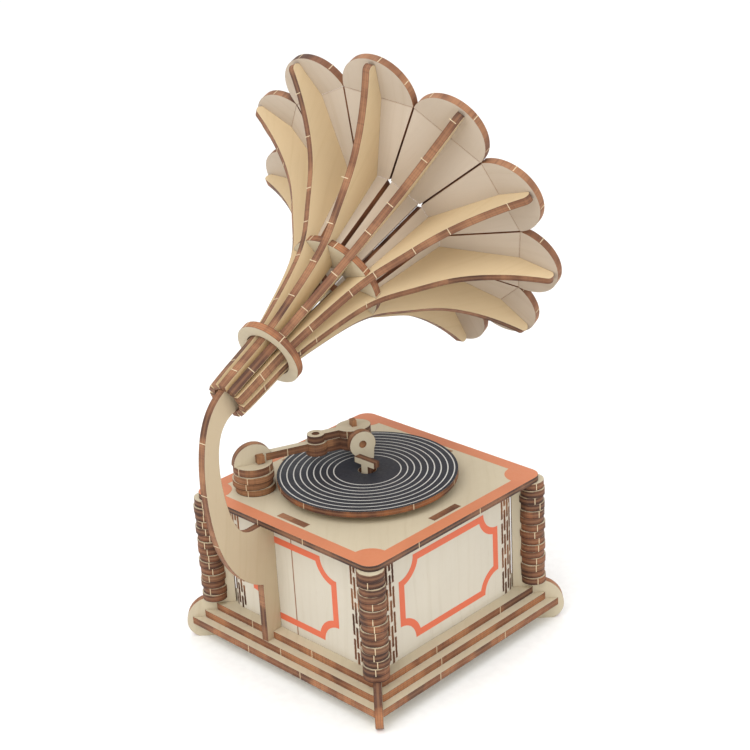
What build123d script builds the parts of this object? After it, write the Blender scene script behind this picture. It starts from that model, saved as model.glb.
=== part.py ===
from build123d import *
import math
import os

# A gramophone built from laser-cut plywood. All sizes are in millimetres.
# +Z is up. The pieces are made with the feet at Z = 0 and the centre of the square box over
# the origin; the neck stands on the +Y side and the horn opens towards -Y. At the end they
# all move together, so that the origin is the middle of the whole model's footprint.

# ---- sheet and fits ----
PLY = 3.0                # thickness of the plywood sheets
THIN = 2.3               # thickness of the two printed sheets, the lid and the record
FIT = 0.05               # clearance on each side of a glued joint
RUN = 0.05               # radial clearance of a turning joint
PLAY = 0.10              # axial clearance of a turning joint
FULL_SLOT = PLY + 2 * FIT
THROUGH = 4 * PLY        # length of a cutter that goes right through a sheet

# ---- box ----
BOTTOM_SIZE = 105.3      # sides of the three stepped base plates
MIDDLE_SIZE = 98.6
TOP_SIZE = 91.6
STEP_RADIUS = 4.0        # corner radius of the two upper base plates
WALL_OUT = 41.2          # outer face of the walls, from the centre
WALL_BEND = 9.0          # outer radius of a wall where it bends round a corner
WALL_HEIGHT = 46.5
SEAM_X = 0.7             # where the two wall sheets meet, on the +Y and -Y sides
TAB_HALF = 7.3           # half the width of a wall tab
LID_SIZE = 95.8
LID_RADIUS = 5.0

# ---- living hinge in the wall corners ----
SLIT_WIDTH = 0.35
SLIT_PITCH = 1.5         # distance between neighbouring slits, along the sheet
SLIT_PERIOD = 10.6       # distance from one slit to the next in the same line
SLIT_BRIDGE = 1.8        # wood left between two slits in the same line
SLIT_FLAT = 3.0          # the slits start this far before the bend

# ---- corner posts and pillars: across is measured along the diagonal, from the centre ----
FOOT_DROP = 6.0          # the feet reach this far under the bottom plate
POST_INNER = 55.0
POST_OUTER = 62.0
SLOT_INNER = 59.0        # the post grips the base plates from here outwards
SHOULDER_OUTER = 67.6
SHOULDER_HEIGHT = 11.2   # heights of the foot are over the bottom of the bottom plate
LOBE_UPPER = (72.7, 7.7)
LOBE_MIDDLE = (75.2, 0.3)
LOBE_LOWER = (73.9, -3.6)
SOLE_OUTER = 70.8
SOLE_INNER = 56.0
HEEL_MIDDLE = (53.0, -3.2)
HEEL_TOP = 52.0
PILLAR_AT = 44.6         # pillar centre, from the centre of the box along X and Y
PILLAR_RADIUS = 4.9
PILLAR_DISCS = 15
PILLAR_OFF = 0.3         # each disc of a pillar is this far off centre,
STACK_TURN = 137.5       # and each one this much further round than the one below

# ---- turntable ----
RECORD_RADIUS = 35.0
RECORD_BORE = 3.5
SPACER_RADIUS = 11.0
HUB_RADIUS = 6.0
KEY_LENGTH = 10.4
KEY_HEIGHT = 2.4
KEY_STEM = 3.4
KEY_LIFT = 2.3           # gap between the record and the bar of the key

# ---- tonearm: lengths along the arm start at the pivot ----
ARM_AT = 31.0            # the pivot, from the centre along X and Y
ARM_TURN = 247.2         # direction of the arm, in degrees from +X
ARM_BASE_DISCS = 3
ARM_BASE_HEIGHT = 2.73   # height of each of these discs
ARM_BASE_OFF = 0.5       # and this far off centre
ARM_DISC_RADIUS = 7.85
ARM_TOP_RADIUS = 7.7
ARM_RETAINER_RADIUS = 6.5
ARM_SPOOL_RADIUS = 4.0
FAN_RADIUS = 8.0         # the upright half disc over the pivot
FAN_FOOT = 10.0          # width of the fan where it goes through the top disc
PEG_START = 0.8
PEG_LIFT = 0.4           # the peg lies this far over the foot of the fan
PEG_OUT = 3.9            # the peg stands out this far on the soundbox side
PEG_BACK = 2.4
BAR_START = 5.2
BAR_END = 24.4
HEAD_PIN_AT = 26.4
HEAD_END_AT = 42.2
HEAD_PIN_END = 4.3       # radius of the head's round end
HEAD_TOP_PIN_END = 3.4   # the same on the upper plate
HEAD_TIP = (7.0, 6.2)    # half lengths of the head's oval end
HEAD_TOP_TIP = (7.0, 5.7)
HEAD_WAIST = 0.5         # the waist's width, as a share of the round end's
HEAD_LOW_HEIGHT = 2.0    # thickness of the head's lowest layer
HEAD_TAB_WIDTH = 1.9     # width of the upright tab, along the arm
HEAD_TAB_OUT = 2.5       # the tab stands out this far over the head
PIN_RADIUS = 1.5
PIN_SUNK = 0.4           # the head pin ends this far under the head's upper face
SOUNDBOX_RADIUS = 5.35
SOUNDBOX_FACE = 9.2      # the outer face of the soundbox disc, across the arm
AXLE_SUNK = 0.7          # the axle ends this far behind that face
NEEDLE_ALONG = 4.3       # the needle's tip, from the soundbox's centre
NEEDLE_GAP = 0.4         # gap between the needle and the record
NEEDLE_SPREAD = 0.62     # how wide the needle's root is, as a share of the tangent's angle

# ---- neck: across is the distance behind the centre of the box ----
HORN_YAW = 4.26          # the neck and the horn point this far off the box's own -Y
THROAT = (10.3, 57.4, 109.6)  # centre of the horn's small end, over the bottom plate
HORN_RISE = 24.0         # elevation of the horn's axis
TONGUE_HALF = 5.12       # half the width of the neck's tongue in the throat
TONGUE_LENGTH = 36.0
NECK_INSIDE = [(62.3, 100.3), (65.4, 89.8), (64.9, 77.5), (62.0, 65.0), (57.5, 57.5)]
NECK_LAP = 52.6          # where the inside curve runs in under the lid
NECK_OUTSIDE = [(57.6, 36.3), (67.0, 49.4), (72.3, 70.0), (72.4, 92.0), (67.4, 107.3)]
NECK_LEG = 49.2          # the outer edge of the neck's straight leg
NECK_LEG_TOP = 31.0
NECK_TABS = [(16.0, 24.0), (38.0, 46.0)]    # heights of the two tabs in the wall

# ---- horn: distances along the horn's axis start at its small end ----
RIBS = 11
FIRST_RIB = 34.6         # angle of the first rib round the axis
RIB_INNER = 5.35         # the ribs leave a round throat of this radius
RIB_THROAT = 7.8         # the ribs' outer edge at the small end
THROAT_LENGTH = 45.0     # the throat's straight length
RIB_STEP = 9.0           # the ribs' inner edge just behind the slotted disc
RIB_BACK = [                                # the ribs' outer curve: radius, distance
    (8.5, 15.0), (9.2, 27.3), (12.1, 42.0), (15.4, 55.0), (20.2, 67.0),
    (28.0, 77.5), (37.0, 88.5), (49.5, 98.5), (67.6, 107.6),
]
RIB_TIP = (69.0, 109.6)
RIB_TIP_TOP = (67.6, 111.5)
COLLAR_AT = 24.3
COLLAR_INNER = 9.4
COLLAR_OUTER = 13.5
DISC_AT = 66.0
DISC_RADIUS = 19.3
DISC_HALF = 14.5         # where the disc's slots and the ribs' slots meet
DISC_BORE = 7.0
PETAL_LINE = [(70.0, 16.8), (100.0, 25.0), (111.2, 53.5), (111.6, 70.0)]
PETAL_GAP = 0.1          # gap between two petals where their inner edges meet

# ---- levels, from the ground up ----
Z_BOTTOM = FOOT_DROP
Z_MIDDLE = Z_BOTTOM + PLY
Z_TOP = Z_MIDDLE + PLY
Z_WALL = Z_TOP + PLY
Z_LID = Z_WALL + WALL_HEIGHT
Z_DECK = Z_LID + THIN
Z_SHOULDER = Z_BOTTOM + SHOULDER_HEIGHT
Z_SPACER = Z_DECK + PLAY
Z_RECORD = Z_SPACER + PLY
Z_KEY = Z_RECORD + THIN + KEY_LIFT
Z_RETAINER = Z_LID - PLAY - PLY
Z_ARM_DISC = Z_DECK + ARM_BASE_DISCS * ARM_BASE_HEIGHT + PLAY
Z_FAN = Z_ARM_DISC + PLY
Z_HEAD = Z_FAN - HEAD_LOW_HEIGHT
Z_HEAD_TOP = Z_FAN + 2 * PLY
Z_PEG = Z_FAN + PEG_LIFT

CORNERS = {"left": 45, "front": 135, "right": 225, "back": 315}
SIDES = (0, 90, 180, 270)
MIDDLE_X = 16.75         # the middle of the whole model, from the centre of the box
MIDDLE_Y = -1.41
parts = {}


def plate(face, z, height=PLY):
    """A flat sheet of the given face, with its underside at z."""
    return extrude(Pos(0, 0, z) * face, height)


def block(x0, x1, y0, y1, z0, z1):
    """A box between two opposite corners."""
    middle = Pos((x0 + x1) / 2, (y0 + y1) / 2, (z0 + z1) / 2)
    return middle * Box(x1 - x0, y1 - y0, z1 - z0)


def upright(plane, outline, thickness=PLY):
    """A sheet standing in a plane, centred on it."""
    return extrude(plane * outline, thickness / 2, both=True)


def off_centre(i, distance):
    """Where the outline of disc i of a hand-glued stack lies."""
    angle = math.radians(STACK_TURN * i)
    return Pos(distance * math.cos(angle), distance * math.sin(angle), 0)


# ---- base plates and corner posts ----
def base_plate(size, radius, z):
    if radius > 0:
        outline = RectangleRounded(size, size, radius)
    else:
        outline = Rectangle(size, size)
    sheet = plate(outline, z)
    for turn in CORNERS.values():
        slot = block(SLOT_INNER - FIT, size, -FULL_SLOT / 2, FULL_SLOT / 2, z - PLY, z + 2 * PLY)
        sheet -= Rot(0, 0, turn) * slot
    return sheet


def corner_post_outline():
    """Seen from the side: across is the distance along the diagonal, up is Z."""
    def over_plate(point):
        return (point[0], point[1] + Z_BOTTOM)

    with BuildLine() as edge:
        Polyline(
            (SLOT_INNER, Z_BOTTOM),
            (SLOT_INNER, Z_WALL),
            (POST_INNER, Z_WALL),
            (POST_INNER, Z_LID),
            (POST_OUTER, Z_LID),
            (POST_OUTER, Z_SHOULDER),
            (SHOULDER_OUTER, Z_SHOULDER),
        )
        upper = over_plate(LOBE_MIDDLE)
        ThreePointArc((SHOULDER_OUTER, Z_SHOULDER), over_plate(LOBE_UPPER), upper)
        ThreePointArc(upper, over_plate(LOBE_LOWER), (SOLE_OUTER, 0))
        Line((SOLE_OUTER, 0), (SOLE_INNER, 0))
        ThreePointArc((SOLE_INNER, 0), over_plate(HEEL_MIDDLE), (HEEL_TOP, Z_BOTTOM))
        Line((HEEL_TOP, Z_BOTTOM), (SLOT_INNER, Z_BOTTOM))
    return make_face(edge.line)


def pillar(turn):
    """A stack of round discs, each slotted over the edge of the corner post."""
    centre = PILLAR_AT * math.sqrt(2)
    height = (Z_LID - Z_SHOULDER) / PILLAR_DISCS
    slot_start = centre - 2 * PILLAR_RADIUS
    slot = block(slot_start, POST_OUTER + FIT, -FULL_SLOT / 2, FULL_SLOT / 2, -PLY, 2 * PLY)
    discs = []
    for i in range(PILLAR_DISCS):
        outline = Pos(centre, 0, 0) * off_centre(i + turn, PILLAR_OFF) * Circle(PILLAR_RADIUS)
        disc = extrude(outline, height) - slot
        discs.append(Rot(0, 0, turn) * Pos(0, 0, Z_SHOULDER + i * height) * disc)
    return discs


# ---- walls: two sheets that bend round the corners ----
def wall_sheet(side, neck_slots):
    """One sheet, bent round two corners: side is 1 on the +X side and -1 on the -X side."""
    inner_size = 2 * (WALL_OUT - PLY)
    ring = RectangleRounded(2 * WALL_OUT, 2 * WALL_OUT, WALL_BEND)
    ring -= RectangleRounded(inner_size, inner_size, WALL_BEND - PLY)
    far = WALL_OUT + PLY
    if side > 0:
        x0, x1 = SEAM_X + FIT / 2, far
        corners = (0, 270)
    else:
        x0, x1 = -far, SEAM_X - FIT / 2
        corners = (90, 180)
    body = block(x0, x1, -far, far, Z_WALL, Z_LID)
    side_tab = block(x0, x1, -TAB_HALF, TAB_HALF, Z_TOP, Z_DECK)
    seam_tab = block(max(x0, -TAB_HALF), min(x1, TAB_HALF), -far, far, Z_TOP, Z_DECK)
    sheet = extrude(Pos(0, 0, Z_TOP) * ring, Z_DECK - Z_TOP) & (body + side_tab + seam_tab)
    slits = [Rot(0, 0, turn) * slit for turn in corners for slit in hinge_slits()]
    return sheet - slits - neck_slots


def hinge_slits():
    """Slits of the living hinge at the (+X, +Y) corner, in staggered upright lines."""
    bend_at = WALL_OUT - WALL_BEND
    middle = WALL_BEND - PLY / 2
    bend_length = middle * math.pi / 2
    length = bend_length + 2 * SLIT_FLAT
    count = int(length / SLIT_PITCH)
    start = (length - (count - 1) * SLIT_PITCH) / 2 - SLIT_FLAT
    slits = []
    for i in range(count):
        along = start + i * SLIT_PITCH
        if along < 0:
            place = Pos(WALL_OUT - PLY / 2, bend_at + along, 0)
        elif along > bend_length:
            place = Pos(bend_at - (along - bend_length), WALL_OUT - PLY / 2, 0) * Rot(0, 0, 90)
        else:
            turn = math.degrees(along / middle)
            place = Pos(bend_at, bend_at, 0) * Rot(0, 0, turn) * Pos(middle, 0, 0)
        shift = SLIT_PERIOD / 2 * (i % 2)
        low = Z_WALL - SLIT_PERIOD + SLIT_BRIDGE + shift
        while low < Z_LID:
            z0 = max(low, Z_WALL - 1)
            z1 = min(low + SLIT_PERIOD - SLIT_BRIDGE, Z_LID + 1)
            if z1 > Z_WALL and z1 - z0 > SLIT_BRIDGE:
                slits.append(place * block(-PLY, PLY, -SLIT_WIDTH / 2, SLIT_WIDTH / 2, z0, z1))
            low += SLIT_PERIOD
    return slits


def wall_tab_slots(z):
    """The four slots of a plate that takes the tabs of the walls."""
    low = WALL_OUT - PLY - FIT
    high = WALL_OUT + FIT
    half = TAB_HALF + FIT
    slot = block(low, high, -half, half, z - PLY, z + 2 * PLY)
    return [Rot(0, 0, turn) * slot for turn in SIDES]


# ---- neck: one upright sheet behind the box ----
YAW = math.radians(HORN_YAW)
RISE = math.radians(HORN_RISE)
NECK_PLANE = Plane(
    origin=(THROAT[0] + THROAT[1] * math.tan(YAW), 0, Z_BOTTOM),
    x_dir=(-math.sin(YAW), math.cos(YAW), 0),
    z_dir=(math.cos(YAW), math.sin(YAW), 0),
)
# Where the neck's plane meets the wall, with room for the turned sheet's nearer face.
NECK_WALL = (WALL_OUT + FIT) / math.cos(YAW) + PLY / 2 * math.tan(YAW)


def neck_outline():
    """Across is the distance behind the centre of the box, up is the height over Z_BOTTOM."""
    back = THROAT[1] / math.cos(YAW)

    def at_horn(along, up):
        across = back - along * math.cos(RISE) + up * math.sin(RISE)
        return (across, THROAT[2] + along * math.sin(RISE) + up * math.cos(RISE))

    lid_under = Z_LID - Z_BOTTOM - FIT
    foot = Z_TOP - Z_BOTTOM
    with BuildLine() as edge:
        Polyline(
            at_horn(0, TONGUE_HALF),
            at_horn(TONGUE_LENGTH, TONGUE_HALF),
            at_horn(TONGUE_LENGTH, -TONGUE_HALF),
            at_horn(0, -TONGUE_HALF),
        )
        Spline(at_horn(0, -TONGUE_HALF), *NECK_INSIDE, (NECK_LAP, lid_under))
        Polyline(
            (NECK_LAP, lid_under),
            (NECK_WALL, lid_under),
            (NECK_WALL, foot),
            (NECK_LEG, foot),
            (NECK_LEG, NECK_LEG_TOP),
        )
        Spline((NECK_LEG, NECK_LEG_TOP), *NECK_OUTSIDE, at_horn(0, TONGUE_HALF))
    return make_face(edge.line)


def neck_tab(low, high, grow=0.0):
    """A tab of the neck, or with grow the slot for it in the wall."""
    outline = Pos(NECK_WALL - PLY / 2, (low + high) / 2)
    outline *= Rectangle(PLY + 4 * grow, high - low + 2 * grow)
    return upright(NECK_PLANE, outline, PLY + 2 * grow)


def neck():
    sheet = upright(NECK_PLANE, neck_outline())
    for low, high in NECK_TABS:
        sheet += neck_tab(low, high)
    return sheet


def neck_notch():
    """The open notch in the edge of the top base plate, for the neck's leg."""
    outline = Pos(NECK_WALL + TOP_SIZE / 2, Z_TOP - Z_BOTTOM) * Rectangle(TOP_SIZE, THROUGH)
    return upright(NECK_PLANE, outline, FULL_SLOT)


# ---- horn: ribs, petals, slotted disc and collar round one axis ----
HORN_AXIS = (
    math.sin(YAW) * math.cos(RISE),
    -math.cos(YAW) * math.cos(RISE),
    math.sin(RISE),
)
HORN_SIDE = (math.cos(YAW), math.sin(YAW), 0)
HORN_PLANE = Plane(
    origin=(THROAT[0], THROAT[1], THROAT[2] + Z_BOTTOM),
    x_dir=HORN_SIDE,
    z_dir=HORN_AXIS,
)
HALF_STEP = math.pi / RIBS


def rib_angle(i):
    return FIRST_RIB + i * 360 / RIBS


def horn_place(angle):
    """Turns a piece made in the XZ plane, with the horn's axis along Z, to its place."""
    return Location(HORN_PLANE) * Rot(0, 0, angle)


def rib():
    """Across is the distance from the axis, up is the distance along it."""
    slot_low = DISC_AT - FIT
    slot_high = DISC_AT + PLY + FIT
    line = PETAL_LINE
    slope = (line[1][1] - line[0][1]) / (line[1][0] - line[0][0])
    edge_at_slot = line[0][1] + slope * (slot_high - line[0][0])
    with BuildLine() as edge:
        Polyline(
            (RIB_THROAT, 0),
            (RIB_INNER, 0),
            (RIB_INNER, THROAT_LENGTH),
            (RIB_STEP, slot_low),
            (DISC_HALF, slot_low),
            (DISC_HALF, slot_high),
            (edge_at_slot, slot_high),
            (line[1][1], line[1][0]),
            (line[2][1], line[2][0]),
            RIB_TIP_TOP,
        )
        ThreePointArc(RIB_TIP_TOP, RIB_TIP, RIB_BACK[-1])
        Spline(*reversed(RIB_BACK), (RIB_THROAT, 0))
    return upright(Plane.XZ, make_face(edge.line))


def petal_panel(low, high, rounded):
    """One flat panel over a rib: its back face runs from low to high in the rib's plane."""
    (s0, r0), (s1, r1) = low, high
    length = math.hypot(s1 - s0, r1 - r0)
    along = ((s1 - s0) / length, (r1 - r0) / length)
    normal = (along[1], -along[0])          # towards the inside of the bell
    drop = -normal[1] * PLY
    wide0 = (r0 - drop) * math.tan(HALF_STEP) - PETAL_GAP / 2
    wide1 = (r1 - drop) * math.tan(HALF_STEP) - PETAL_GAP / 2
    if rounded:
        wide1 = wide0
        length -= wide0
    outline = make_face(Polyline(
        (FIT, -wide0), (length, -wide1), (length, wide1), (FIT, wide0), (FIT, -wide0)
    ))
    if rounded:
        half = Pos(length + wide0, 0) * Rectangle(2 * wide0, 2 * wide0)
        outline += (Pos(length, 0) * Circle(wide0)) & half
    # The panel's own plane: x runs up the rib, y runs round the horn, z into the bell.
    plane = Plane(
        origin=(r0, 0, s0), x_dir=(along[1], 0, along[0]), z_dir=(normal[1], 0, normal[0])
    )
    return extrude(plane * outline, PLY)


def petal():
    line = PETAL_LINE
    return [
        petal_panel(line[0], line[1], False),
        petal_panel(line[1], line[2], False),
        petal_panel(line[2], line[3], True),
    ]


def horn_disc():
    disc = extrude(Circle(DISC_RADIUS) - Circle(DISC_BORE), PLY)
    low, high = DISC_HALF - FIT, DISC_RADIUS + PLY
    slot = block(low, high, -FULL_SLOT / 2, FULL_SLOT / 2, -PLY, 2 * PLY)
    for i in range(RIBS):
        disc -= Rot(0, 0, rib_angle(i)) * slot
    return horn_place(0) * Pos(0, 0, DISC_AT) * disc


def horn_collar():
    ring = extrude(Circle(COLLAR_OUTER) - Circle(COLLAR_INNER), PLY)
    return horn_place(0) * Pos(0, 0, COLLAR_AT) * ring


# ---- turntable ----
def spindle_key():
    """A T-shaped sheet: its stem goes down through the record and the hub."""
    bar_top = Z_KEY + KEY_HEIGHT
    key = block(-KEY_LENGTH / 2, KEY_LENGTH / 2, -PLY / 2, PLY / 2, Z_KEY, bar_top)
    return key + block(-KEY_STEM / 2, KEY_STEM / 2, -PLY / 2, PLY / 2, Z_RETAINER, Z_KEY)


def keyed_disc(radius, z, height, slot_x, slot_y):
    """A round disc with a rectangular hole, slot_x by slot_y, through its middle."""
    hole = Rectangle(slot_x + 2 * FIT, slot_y + 2 * FIT)
    return plate(Circle(radius) - hole, z, height)


# ---- tonearm, made along +X and turned into place ----
ARM_PLACE = Pos(ARM_AT, ARM_AT, 0) * Rot(0, 0, ARM_TURN)
SOUNDBOX_Z = Z_FAN + PLY / 2


def fan_plate():
    """The upright half disc, with a stem that runs down through the pivot."""
    upper_half = Pos(0, FAN_RADIUS) * Rectangle(2 * FAN_RADIUS, 2 * FAN_RADIUS)
    sheet = upright(Plane.XZ, Pos(0, Z_FAN) * (Circle(FAN_RADIUS) & upper_half))
    sheet += block(-FAN_FOOT / 2, FAN_FOOT / 2, -PLY / 2, PLY / 2, Z_ARM_DISC, Z_FAN)
    sheet += block(-PLY / 2, PLY / 2, -PLY / 2, PLY / 2, Z_RETAINER, Z_ARM_DISC)
    far = FAN_RADIUS + PLY
    sheet -= block(BAR_START - FIT, far, -PLY, PLY, Z_FAN - FIT, Z_FAN + PLY + FIT)
    peg_end = PEG_START + PLY + FIT
    return sheet - block(PEG_START - FIT, peg_end, -PLY, PLY, Z_PEG - FIT, Z_PEG + PLY + FIT)


def head_outline(pin_end, tip):
    """A round end at the pin, a waist, and a larger oval end over the soundbox."""
    waist_end = HEAD_END_AT - tip[0] + PLY / 2
    waist = Rectangle(waist_end - HEAD_PIN_AT, 2 * pin_end * HEAD_WAIST)
    outline = Pos(HEAD_PIN_AT, 0) * Circle(pin_end)
    outline += Pos(HEAD_END_AT, 0) * Ellipse(*tip)
    outline += Pos((waist_end + HEAD_PIN_AT) / 2, 0) * waist
    return outline


def head_plate(z, pin_end, tip, height=PLY):
    sheet = plate(head_outline(pin_end, tip), z, height)
    sheet -= Pos(HEAD_PIN_AT, 0, z) * Cylinder(PIN_RADIUS, THROUGH)
    half = HEAD_TAB_WIDTH / 2 + FIT
    lap = FULL_SLOT / 2
    return sheet - block(HEAD_END_AT - half, HEAD_END_AT + half, -lap, lap, z - PLY, z + 2 * PLY)


def middle_head_plate():
    """The layer that takes the end of the bar and the soundbox axle."""
    sheet = head_plate(Z_FAN, HEAD_PIN_END, HEAD_TIP)
    lap = FULL_SLOT / 2
    low, high = Z_FAN - PLY, Z_FAN + 2 * PLY
    sheet -= block(HEAD_PIN_AT - 2 * PLY, BAR_END + FIT, -lap, lap, low, high)
    return sheet - block(HEAD_END_AT - lap, HEAD_END_AT + lap, -SOUNDBOX_FACE, 0, low, high)


def soundbox_plane(across):
    """An upright plane along the arm, with its origin on the soundbox's axis."""
    return Plane(origin=(HEAD_END_AT, -across, SOUNDBOX_Z), x_dir=(1, 0, 0), z_dir=(0, -1, 0))


def soundbox_disc():
    """A drop-shaped sheet whose point hangs over the groove of the record."""
    tip = (NEEDLE_ALONG, Z_RECORD + THIN + NEEDLE_GAP - SOUNDBOX_Z)
    lean = math.atan2(tip[1], tip[0])
    spread = math.acos(SOUNDBOX_RADIUS / math.hypot(*tip)) * NEEDLE_SPREAD
    root = [
        (SOUNDBOX_RADIUS * math.cos(angle), SOUNDBOX_RADIUS * math.sin(angle))
        for angle in (lean - spread, lean + spread)
    ]
    drop = Circle(SOUNDBOX_RADIUS)
    drop += make_face(Polyline((0, 0), root[0], tip, root[1], (0, 0)))
    drop -= Circle(PIN_RADIUS)
    return extrude(soundbox_plane(SOUNDBOX_FACE) * drop, -PLY)


def soundbox_axle():
    start = PLY / 2 + FIT
    return extrude(soundbox_plane(start) * Circle(PIN_RADIUS), SOUNDBOX_FACE - AXLE_SUNK - start)


def head_tab():
    low, high = HEAD_END_AT - HEAD_TAB_WIDTH / 2, HEAD_END_AT + HEAD_TAB_WIDTH / 2
    return block(low, high, -PLY / 2, PLY / 2, Z_HEAD, Z_HEAD_TOP + HEAD_TAB_OUT)


# ---- put the pieces together ----
parts["base_bottom_plate"] = base_plate(BOTTOM_SIZE, 0, Z_BOTTOM)
parts["base_middle_plate"] = base_plate(MIDDLE_SIZE, STEP_RADIUS, Z_MIDDLE)
top_plate = base_plate(TOP_SIZE, STEP_RADIUS, Z_TOP) - wall_tab_slots(Z_TOP)
parts["base_top_plate"] = top_plate - neck_notch()

post = upright(Plane.XZ, corner_post_outline())
for name, turn in CORNERS.items():
    parts["corner_post_" + name] = Rot(0, 0, turn) * post
    parts["pillar_discs_" + name] = pillar(turn)

neck_slots = [neck_tab(low, high, FIT) for low, high in NECK_TABS]
parts["wall_sheet_left"] = wall_sheet(1, neck_slots)
parts["wall_sheet_right"] = wall_sheet(-1, neck_slots)

lid = plate(RectangleRounded(LID_SIZE, LID_SIZE, LID_RADIUS), Z_LID, THIN)
lid -= wall_tab_slots(Z_LID)
lid -= Pos(0, 0, Z_LID) * Cylinder(HUB_RADIUS + RUN, THROUGH)
lid -= Pos(ARM_AT, ARM_AT, Z_LID) * Cylinder(ARM_SPOOL_RADIUS + RUN, THROUGH)
parts["lid"] = lid

hub_height = THIN + 2 * PLAY
parts["turntable_retainer"] = keyed_disc(SPACER_RADIUS, Z_RETAINER, PLY, KEY_STEM, PLY)
parts["turntable_hub"] = keyed_disc(HUB_RADIUS, Z_LID - PLAY, hub_height, KEY_STEM, PLY)
parts["turntable_spacer"] = keyed_disc(SPACER_RADIUS, Z_SPACER, PLY, KEY_STEM, PLY)
parts["record"] = plate(Circle(RECORD_RADIUS) - Circle(RECORD_BORE), Z_RECORD, THIN)
parts["spindle_key"] = spindle_key()

arm_bore = Circle(ARM_SPOOL_RADIUS + RUN)
arm_base = []
for i in range(ARM_BASE_DISCS):
    outline = off_centre(i, ARM_BASE_OFF) * Circle(ARM_DISC_RADIUS) - arm_bore
    arm_base.append(ARM_PLACE * plate(outline, Z_DECK + i * ARM_BASE_HEIGHT, ARM_BASE_HEIGHT))
parts["tonearm_base_discs"] = arm_base
spool_height = Z_ARM_DISC - Z_LID + PLAY
pin_length = Z_HEAD_TOP - PIN_SUNK - Z_HEAD
arm_pieces = {
    "tonearm_retainer": keyed_disc(ARM_RETAINER_RADIUS, Z_RETAINER, PLY, PLY, PLY),
    "tonearm_spool": keyed_disc(ARM_SPOOL_RADIUS, Z_LID - PLAY, spool_height, PLY, PLY),
    "tonearm_top_disc": keyed_disc(ARM_TOP_RADIUS, Z_ARM_DISC, PLY, FAN_FOOT, PLY),
    "tonearm_fan": fan_plate(),
    "tonearm_peg": block(PEG_START, PEG_START + PLY, -PEG_OUT, PEG_BACK, Z_PEG, Z_PEG + PLY),
    "tonearm_bar": block(BAR_START, BAR_END, -PLY / 2, PLY / 2, Z_FAN, Z_FAN + PLY),
    "head_lower_plate": head_plate(Z_HEAD, HEAD_PIN_END, HEAD_TIP, HEAD_LOW_HEIGHT),
    "head_middle_plate": middle_head_plate(),
    "head_upper_plate": head_plate(Z_FAN + PLY, HEAD_TOP_PIN_END, HEAD_TOP_TIP),
    "head_pin": extrude(Pos(HEAD_PIN_AT, 0, Z_HEAD) * Circle(PIN_RADIUS), pin_length),
    "head_tab": head_tab(),
    "soundbox_axle": soundbox_axle(),
    "soundbox_disc": soundbox_disc(),
}
for name, piece in arm_pieces.items():
    parts[name] = ARM_PLACE * piece

parts["horn_neck"] = neck()
parts["horn_collar"] = horn_collar()
parts["horn_disc"] = horn_disc()
one_rib = rib()
one_petal = petal()
for i in range(RIBS):
    place = horn_place(rib_angle(i))
    parts[f"horn_rib_{i + 1:02d}"] = place * one_rib
    parts[f"horn_petal_{i + 1:02d}"] = [place * panel for panel in one_petal]

# ---- move the origin under the middle of the whole model, and write one file per node ----
os.makedirs("parts", exist_ok=True)
for name, shape in parts.items():
    solid = Compound(children=shape) if isinstance(shape, list) else shape
    export_step(Pos(-MIDDLE_X, -MIDDLE_Y, 0) * solid, f"parts/{name}.step")
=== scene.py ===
import math
import random

import bmesh
import bpy
from mathutils import Matrix, Vector


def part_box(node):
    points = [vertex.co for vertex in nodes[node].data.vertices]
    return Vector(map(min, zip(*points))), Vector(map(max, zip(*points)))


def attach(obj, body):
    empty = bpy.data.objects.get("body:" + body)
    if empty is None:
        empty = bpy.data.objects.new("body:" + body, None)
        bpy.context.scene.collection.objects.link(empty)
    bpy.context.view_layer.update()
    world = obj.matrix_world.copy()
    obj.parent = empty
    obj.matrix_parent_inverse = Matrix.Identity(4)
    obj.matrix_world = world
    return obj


# Looks of the laser-cut plywood gramophone. Lengths are in metres, and MM is one millimetre.
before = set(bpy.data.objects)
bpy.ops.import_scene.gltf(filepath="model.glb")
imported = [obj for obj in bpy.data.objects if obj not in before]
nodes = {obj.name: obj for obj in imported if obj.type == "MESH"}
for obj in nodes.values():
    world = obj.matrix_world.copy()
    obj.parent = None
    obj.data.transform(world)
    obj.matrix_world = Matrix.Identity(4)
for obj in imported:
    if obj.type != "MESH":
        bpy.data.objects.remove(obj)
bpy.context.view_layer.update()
MM = 0.001


# ---------------------------------------------------------------- places in the frame
def centre_of(node):
    low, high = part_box(node)
    return (low + high) / 2


BOX_CENTRE = centre_of("base_bottom_plate")
BOX_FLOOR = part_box("base_bottom_plate")[0].z
LID_LOW, LID_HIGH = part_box("lid")
LID_TOP = LID_HIGH.z
WALL_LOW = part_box("wall_sheet_right")[0]
WALL_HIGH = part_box("wall_sheet_left")[1]
WALL_OUT = (WALL_HIGH.x - WALL_LOW.x) / 2
WALL_BEND = 9.0 * MM  # outer radius of a wall where it bends round a corner
TOP_PLATE_LOW, TOP_PLATE_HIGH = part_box("base_top_plate")
PLY = TOP_PLATE_HIGH.z - TOP_PLATE_LOW.z
WALL_FOOT = TOP_PLATE_HIGH.z
SLIT_COUNT = 11  # lines of slits in each living hinge
SLIT_PITCH = 1.5 * MM
SLIT_PERIOD = 10.6 * MM
SLIT_BRIDGE = 1.8 * MM  # wood between two slits in the same line
SEAM_X = (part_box("wall_sheet_left")[0].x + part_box("wall_sheet_right")[1].x) / 2
RECORD_CENTRE = centre_of("record")
RECORD_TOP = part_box("record")[1].z
RECORD_RADIUS = (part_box("record")[1].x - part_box("record")[0].x) / 2
ARM_CENTRE = centre_of("tonearm_top_disc")
UP = Vector((0, 0, 1))
LENGTHWISE = Vector((1, 0, 0))
HORN_START = centre_of("horn_collar")
HORN_AXIS = (centre_of("horn_disc") - HORN_START).normalized()
HORN_SIDE = UP.cross(HORN_AXIS).normalized()
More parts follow.
